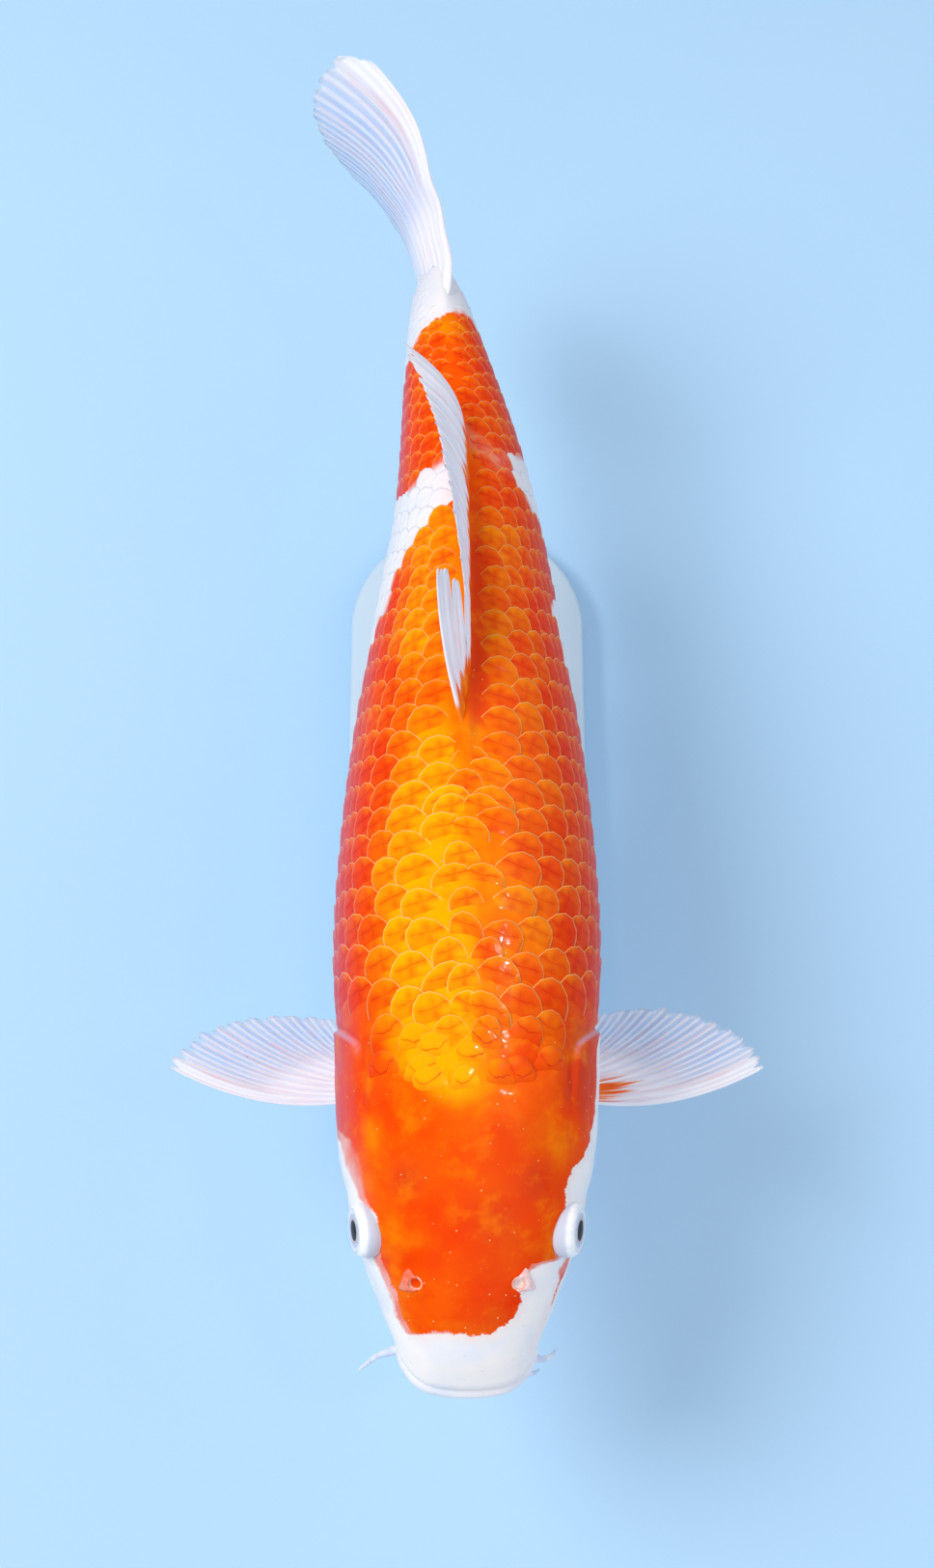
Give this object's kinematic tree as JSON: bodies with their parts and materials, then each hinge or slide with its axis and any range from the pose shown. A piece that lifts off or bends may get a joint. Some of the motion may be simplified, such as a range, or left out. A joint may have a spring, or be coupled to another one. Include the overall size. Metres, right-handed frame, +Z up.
{
  "type": "koi carp display model",
  "caption": "Life-size koi carp with orange and white skin, scales and spread fins, held over a slim flat base by plain rods.",
  "frame": {"origin": "middle of the stand base's underside, on the floor", "axes": "+Y from the snout towards the tail, +Z up, +X to the fish's left"},
  "size_m": [0.2014, 0.4495, 0.2142],
  "materials": {
    "orange_skin": "wet, glossy orange skin and scales",
    "white_skin": "wet, glossy white skin",
    "eye": "clear, wet",
    "fin": "thin and half clear between white rays",
    "stand_paint": "satin",
    "stand_steel": "brushed"
  },
  "bodies": {
    "root": {"head": "orange_skin", "upper_lip": "white_skin", "lower_jaw": "white_skin", "throat": "white_skin", "gill_cover_left": "orange_skin", "gill_cover_right": "orange_skin", "trunk_front": "orange_skin", "trunk_rear": "orange_skin", "tail_stem": "orange_skin", "eye_left": "eye", "eye_right": "eye", "dorsal_fin": "fin", "anal_fin": "fin", "pectoral_fin_left": "fin", "pectoral_fin_right": "fin", "pelvic_fin_left": "fin", "pelvic_fin_right": "fin", "tail_fin_upper_lobe": "fin", "tail_fin_lower_lobe": "fin", "barbel_long_left": "white_skin", "barbel_long_right": "white_skin", "barbel_short_left": "white_skin", "barbel_short_right": "white_skin", "stand_base": "stand_paint", "stand_rod_front": "stand_steel", "stand_rod_rear": "stand_steel"}
  },
  "joints": []
}
